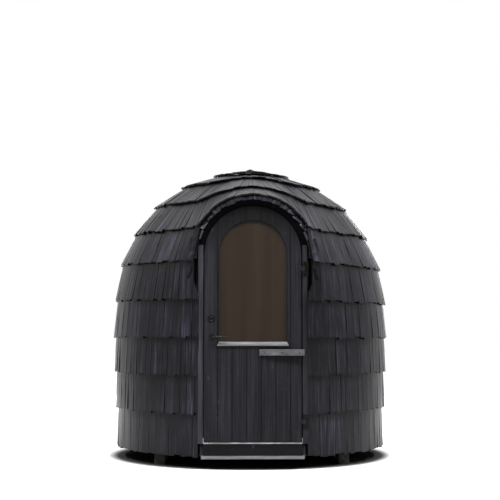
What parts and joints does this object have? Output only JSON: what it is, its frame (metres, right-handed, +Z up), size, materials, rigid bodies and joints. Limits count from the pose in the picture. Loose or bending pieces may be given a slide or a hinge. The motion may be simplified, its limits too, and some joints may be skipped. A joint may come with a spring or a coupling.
{
  "type": "outdoor sauna",
  "caption": "Round shingled sauna cabin with a domed roof, an eyebrow hood and an arched, glazed door that swings out.",
  "frame": {"origin": "on the dome's axis, at ground level under the skids", "axes": "+Z up, the door faces -Y, +X to the right of a person facing the door"},
  "size_m": [2.2998, 2.2999, 2.415],
  "materials": {
    "stained_shingles": "black-stained split shakes",
    "stained_boards": "black-stained planed boards",
    "ground_timber": "dark weathered timber",
    "pale_lining": "untreated softwood lining",
    "weathered_batten": "grey weathered wood",
    "threshold_metal": "bare metal strip",
    "tinted_glass": "bronze-tinted glass",
    "grey_bead": "pale grey glazing bead",
    "black_metal": "black powder coat"
  },
  "bodies": {
    "cabin": {"floor_deck": "pale_lining", "floor_joists": "ground_timber", "floor_rim": "ground_timber", "frame_head": "stained_boards", "hinge_frame_plates": "black_metal", "hood_arch": "stained_boards", "hood_cheek_left": "stained_shingles", "hood_cheek_right": "stained_shingles", "hood_shingles_back": "stained_shingles", "hood_shingles_lip": "stained_shingles", "jamb_left": "stained_boards", "jamb_right": "stained_boards", "roof_front": "pale_lining", "roof_left": "pale_lining", "roof_rear": "pale_lining", "roof_right": "pale_lining", "shingle_course_01": "stained_shingles", "shingle_course_02": "stained_shingles", "shingle_course_03": "stained_shingles", "shingle_course_04": "stained_shingles", "shingle_course_05": "stained_shingles", "shingle_course_06": "stained_shingles", "shingle_course_07": "stained_shingles", "shingle_course_08": "stained_shingles", "shingle_course_09": "stained_shingles", "shingle_course_10": "stained_shingles", "sill_board": "stained_boards", "sill_strip": "weathered_batten", "skids": "ground_timber", "threshold_bar": "threshold_metal", "wall_front_left": "pale_lining", "wall_front_right": "pale_lining", "wall_rear_left": "pale_lining", "wall_rear_right": "pale_lining", "wall_side_left": "pale_lining", "wall_side_right": "pale_lining"},
    "door": {"door_boards_inner": "pale_lining", "door_boards_outer": "stained_boards", "hinge_leaf_plates": "black_metal", "lever_rosettes": "black_metal", "lock_rosettes": "black_metal", "stop_batten": "weathered_batten", "window_bead_inner": "pale_lining", "window_bead_outer": "stained_boards", "window_drip_bead": "grey_bead", "window_glass": "tinted_glass"},
    "lever": {"inside_lever": "black_metal", "outside_lever": "black_metal"}
  },
  "joints": [
    {"name": "door_swing", "type": "hinge", "parent": "cabin", "child": "door", "pos_m": [0.386, -1.1, 0.94], "axis": [0, 0, 1], "range_deg": [0, 90]},
    {"name": "lever_turn", "type": "hinge", "parent": "door", "child": "lever", "pos_m": [-0.305, -1.07, 0.994], "axis": [0, 1, 0], "range_deg": [0, 40], "stiffness_Nm_per_rad": 1, "springref_deg": -34.38}
  ]
}
